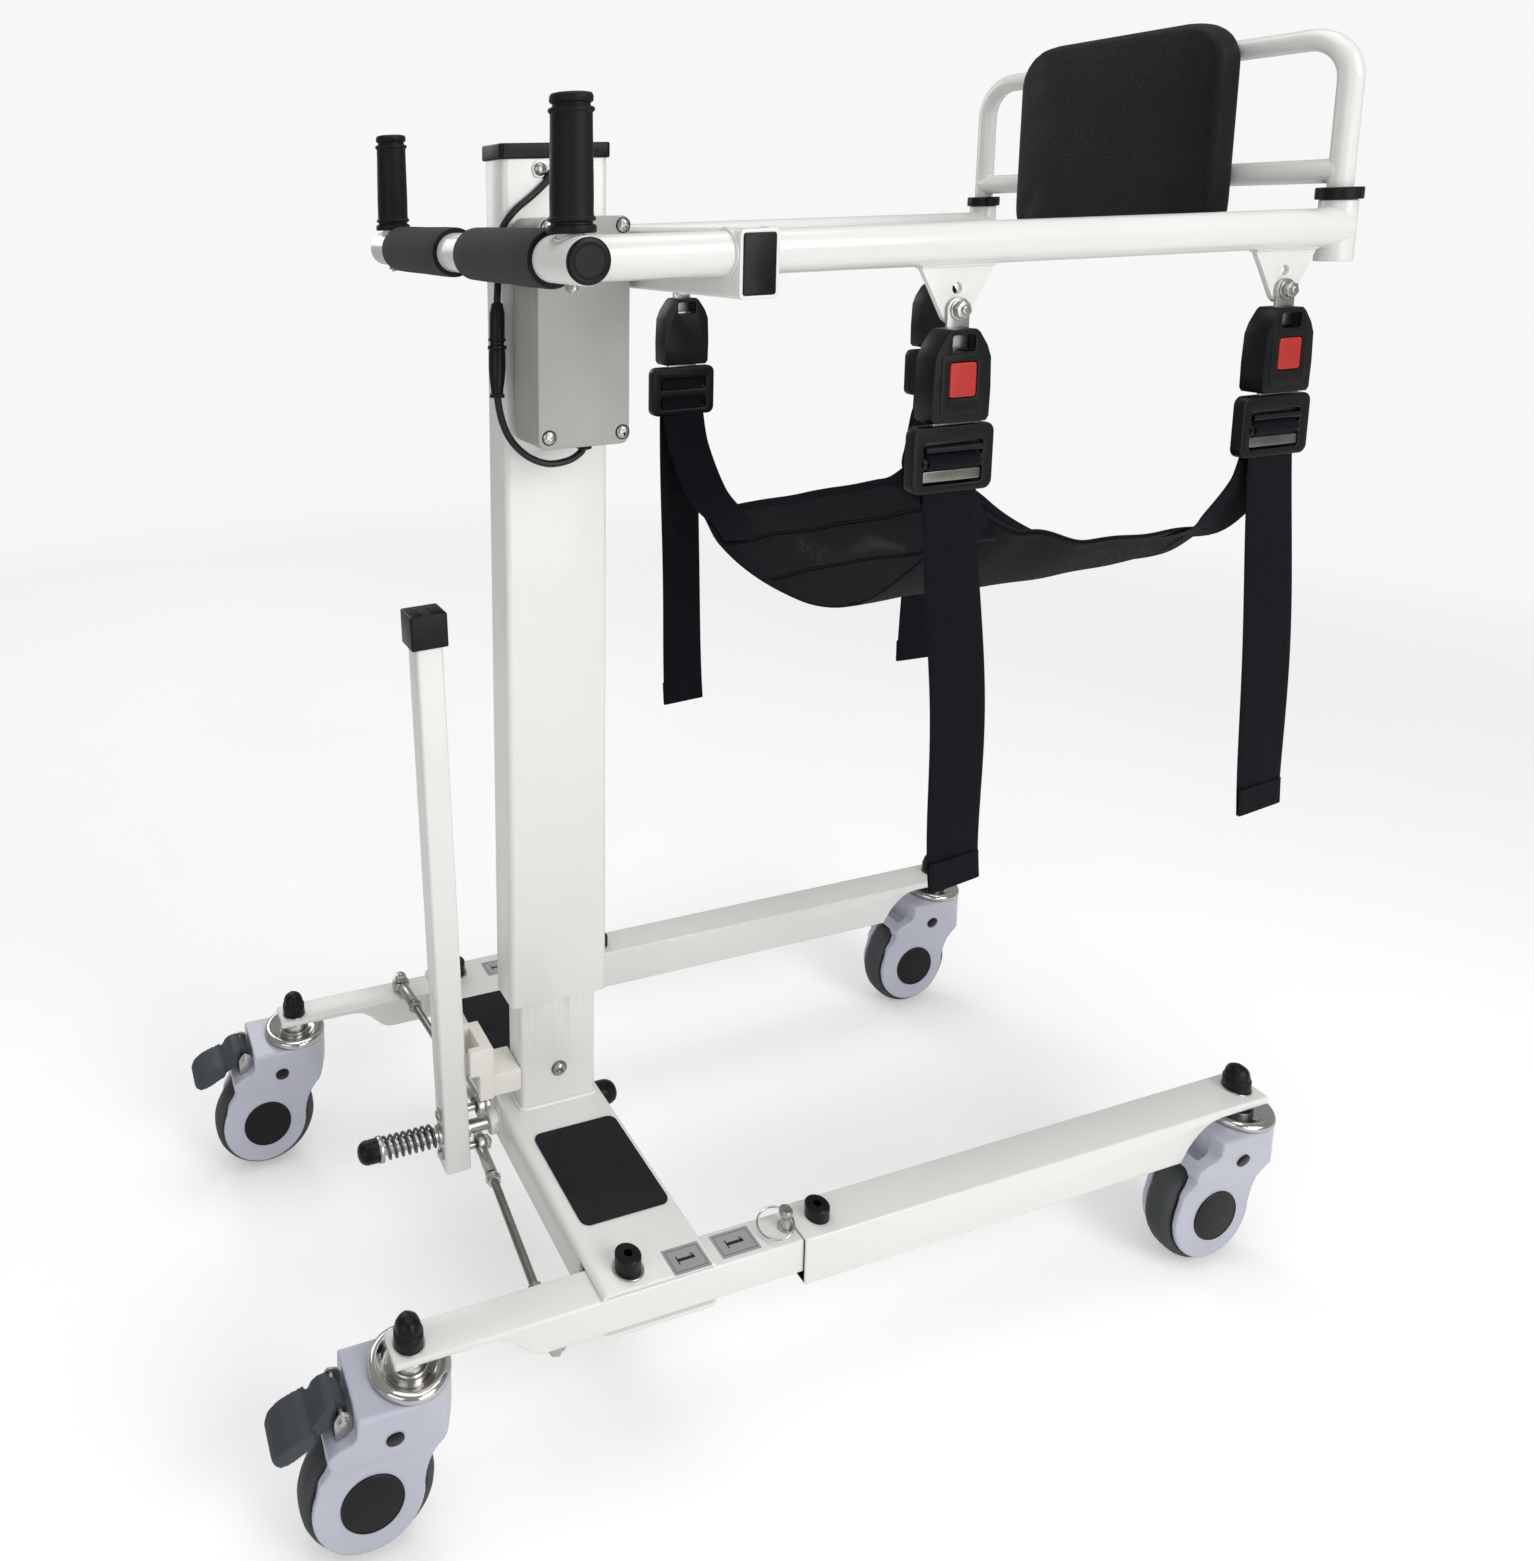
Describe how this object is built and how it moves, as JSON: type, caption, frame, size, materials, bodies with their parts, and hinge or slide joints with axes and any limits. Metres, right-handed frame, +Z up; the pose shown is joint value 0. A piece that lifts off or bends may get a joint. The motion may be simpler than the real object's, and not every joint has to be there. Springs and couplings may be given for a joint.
{
  "type": "sit to stand lift",
  "caption": "Powered sit to stand lift: rising column with padded arms, strap-hung mesh seat, backrest and spreading caster legs.",
  "frame": {"origin": "on the floor under the middle of the lift, seen from above; the column axis stands 0.201 m behind it", "axes": "+X forward from the column towards the backrest, +Y to the left, +Z up"},
  "size_m": [1.143, 0.5472, 1.358],
  "materials": {
    "frame": "white gloss powder coat",
    "caster_housing": "lilac grey moulded",
    "tyre": "dark grey thermoplastic rubber",
    "pedal": "slate grey",
    "steel": "zinc plated and polished",
    "foam": "closed cell foam",
    "rubber": "black moulded rubber",
    "abs": "light grey fine texture",
    "nylon": "white nylon",
    "grit": "black anti-slip sheet",
    "button": "red",
    "webbing": "black webbing and mesh",
    "leather": "black upholstery",
    "black_plastic": "black moulded"
  },
  "bodies": {
    "base": {"base_crossbeam": "frame", "inner_column": "frame", "stop_block": "nylon", "foot_pad_left": "grit", "foot_pad_right": "grit", "pivot_bolt_left": "black_plastic", "pivot_bolt_right": "black_plastic", "lever_shaft": "steel", "shaft_spring": "steel", "actuator_body": "steel"},
    "lever_slider": {"lever_bush": "steel"},
    "lever": {"lever_bar": "frame"},
    "leg_left": {"leg_left": "frame", "front_leg_left": "frame", "caster_stem_rear_left": "steel", "caster_stem_front_left": "steel"},
    "lock_pin_left": {"lock_pin_left": "steel"},
    "tie_rod_left": {"tie_rod_left": "steel"},
    "caster_rear_left": {"caster_housing_rear_left": "caster_housing"},
    "wheel_rear_left": {"wheel_rear_left": "tyre"},
    "caster_front_left": {"caster_housing_front_left": "caster_housing"},
    "wheel_front_left": {"wheel_front_left": "tyre"},
    "brake_pedal_rear_left": {"brake_pedal_rear_left": "pedal"},
    "leg_right": {"leg_right": "frame", "front_leg_right": "frame", "caster_stem_rear_right": "steel", "caster_stem_front_right": "steel"},
    "lock_pin_right": {"lock_pin_right": "steel"},
    "tie_rod_right": {"tie_rod_right": "steel"},
    "caster_rear_right": {"caster_housing_rear_right": "caster_housing"},
    "wheel_rear_right": {"wheel_rear_right": "tyre"},
    "caster_front_right": {"caster_housing_front_right": "caster_housing"},
    "wheel_front_right": {"wheel_front_right": "tyre"},
    "brake_pedal_rear_right": {"brake_pedal_rear_right": "pedal"},
    "mast": {"outer_column": "frame", "column_cap": "black_plastic", "actuator_rod": "steel", "control_box": "abs", "control_box_lid": "abs", "power_cable": "black_plastic", "arm_frame": "frame", "foam_grip_left": "foam", "foam_grip_right": "foam", "hand_grip_left": "rubber", "hand_grip_right": "rubber", "buckle_rear_left": "black_plastic", "buckle_rear_right": "black_plastic", "buckle_front_left": "black_plastic", "buckle_front_right": "black_plastic"},
    "backrest": {"backrest_frame": "frame", "backrest_pad": "leather"},
    "sling": {"sling_seat": "webbing", "adjuster_rear_left": "black_plastic", "adjuster_rear_right": "black_plastic", "adjuster_front_left": "black_plastic", "adjuster_front_right": "black_plastic"},
    "release_button_rear_left": {"release_button_rear_left": "button"},
    "release_button_rear_right": {"release_button_rear_right": "button"},
    "release_button_front_left": {"release_button_front_left": "button"},
    "release_button_front_right": {"release_button_front_right": "button"}
  },
  "joints": [
    {"name": "column_lift", "type": "slide", "parent": "base", "child": "mast", "axis": [0, 0, 1], "range_m": [0, 0.3]},
    {"name": "lever_engage", "type": "slide", "parent": "base", "child": "lever_slider", "axis": [1, 0, 0], "range_m": [0, 0.0055]},
    {"name": "lever_swing", "type": "hinge", "parent": "lever_slider", "child": "lever", "pos_m": [-0.31985, 0, 0.178], "axis": [1, 0, 0], "range_deg": [0, 28]},
    {"name": "leg_spread_left", "type": "hinge", "parent": "base", "child": "leg_left", "pos_m": [-0.23085, 0.236, 0.17], "axis": [0, 0, 1], "range_deg": [-0.5, 9]},
    {"name": "tie_rod_turn_left", "type": "hinge", "parent": "leg_left", "child": "tie_rod_left", "pos_m": [-0.30585, 0.236, 0.1985], "axis": [0, 0, 1], "range_deg": [-9, 0.5]},
    {"name": "lock_pin_pull_left", "type": "slide", "parent": "leg_left", "child": "lock_pin_left", "axis": [0, 0, 1], "range_m": [0, 0.055]},
    {"name": "swivel_rear_left", "type": "hinge", "parent": "leg_left", "child": "caster_rear_left", "pos_m": [-0.44725, 0.236, 0.157], "axis": [0, 0, 1], "continuous": true},
    {"name": "roll_rear_left", "type": "hinge", "parent": "caster_rear_left", "child": "wheel_rear_left", "pos_m": [-0.49065, 0.236, 0.0625], "axis": [0, 1, 0], "continuous": true},
    {"name": "swivel_front_left", "type": "hinge", "parent": "leg_left", "child": "caster_front_left", "pos_m": [0.52135, 0.236, 0.157], "axis": [0, 0, 1], "continuous": true},
    {"name": "roll_front_left", "type": "hinge", "parent": "caster_front_left", "child": "wheel_front_left", "pos_m": [0.47795, 0.236, 0.0625], "axis": [0, 1, 0], "continuous": true},
    {"name": "brake_press_rear_left", "type": "hinge", "parent": "caster_rear_left", "child": "brake_pedal_rear_left", "pos_m": [-0.51525, 0.236, 0.1575], "axis": [0, 1, 0], "range_deg": [-12, 0]},
    {"name": "leg_spread_right", "type": "hinge", "parent": "base", "child": "leg_right", "pos_m": [-0.23085, -0.236, 0.17], "axis": [0, 0, 1], "range_deg": [-9, 0.5]},
    {"name": "tie_rod_turn_right", "type": "hinge", "parent": "leg_right", "child": "tie_rod_right", "pos_m": [-0.30585, -0.236, 0.146], "axis": [0, 0, 1], "range_deg": [-0.5, 9]},
    {"name": "lock_pin_pull_right", "type": "slide", "parent": "leg_right", "child": "lock_pin_right", "axis": [0, 0, 1], "range_m": [0, 0.055]},
    {"name": "swivel_rear_right", "type": "hinge", "parent": "leg_right", "child": "caster_rear_right", "pos_m": [-0.44725, -0.236, 0.157], "axis": [0, 0, 1], "continuous": true},
    {"name": "roll_rear_right", "type": "hinge", "parent": "caster_rear_right", "child": "wheel_rear_right", "pos_m": [-0.49065, -0.236, 0.0625], "axis": [0, 1, 0], "continuous": true},
    {"name": "swivel_front_right", "type": "hinge", "parent": "leg_right", "child": "caster_front_right", "pos_m": [0.52135, -0.236, 0.157], "axis": [0, 0, 1], "continuous": true},
    {"name": "roll_front_right", "type": "hinge", "parent": "caster_front_right", "child": "wheel_front_right", "pos_m": [0.47795, -0.236, 0.0625], "axis": [0, 1, 0], "continuous": true},
    {"name": "brake_press_rear_right", "type": "hinge", "parent": "caster_rear_right", "child": "brake_pedal_rear_right", "pos_m": [-0.51525, -0.236, 0.1575], "axis": [0, 1, 0], "range_deg": [-12, 0]},
    {"name": "backrest_lift_out", "type": "slide", "parent": "mast", "child": "backrest", "axis": [0, 0, 1], "range_m": [0, 0.09]},
    {"name": "sling_release", "type": "slide", "parent": "mast", "child": "sling", "axis": [0, 0, -1], "range_m": [0, 0.06]},
    {"name": "button_press_rear_left", "type": "slide", "parent": "mast", "child": "release_button_rear_left", "axis": [0, -1, 0], "range_m": [0, 0.0022], "stiffness_N_per_m": 400},
    {"name": "button_press_rear_right", "type": "slide", "parent": "mast", "child": "release_button_rear_right", "axis": [0, 1, 0], "range_m": [0, 0.0022], "stiffness_N_per_m": 400},
    {"name": "button_press_front_left", "type": "slide", "parent": "mast", "child": "release_button_front_left", "axis": [0, -1, 0], "range_m": [0, 0.0022], "stiffness_N_per_m": 400},
    {"name": "button_press_front_right", "type": "slide", "parent": "mast", "child": "release_button_front_right", "axis": [0, 1, 0], "range_m": [0, 0.0022], "stiffness_N_per_m": 400}
  ],
  "couplings": [
    {"joint": "leg_spread_left", "follows": "lever_swing", "ratio": 0.31},
    {"joint": "leg_spread_right", "follows": "lever_swing", "ratio": -0.31},
    {"joint": "tie_rod_turn_left", "follows": "lever_swing", "ratio": -0.31},
    {"joint": "tie_rod_turn_right", "follows": "lever_swing", "ratio": 0.31}
  ]
}
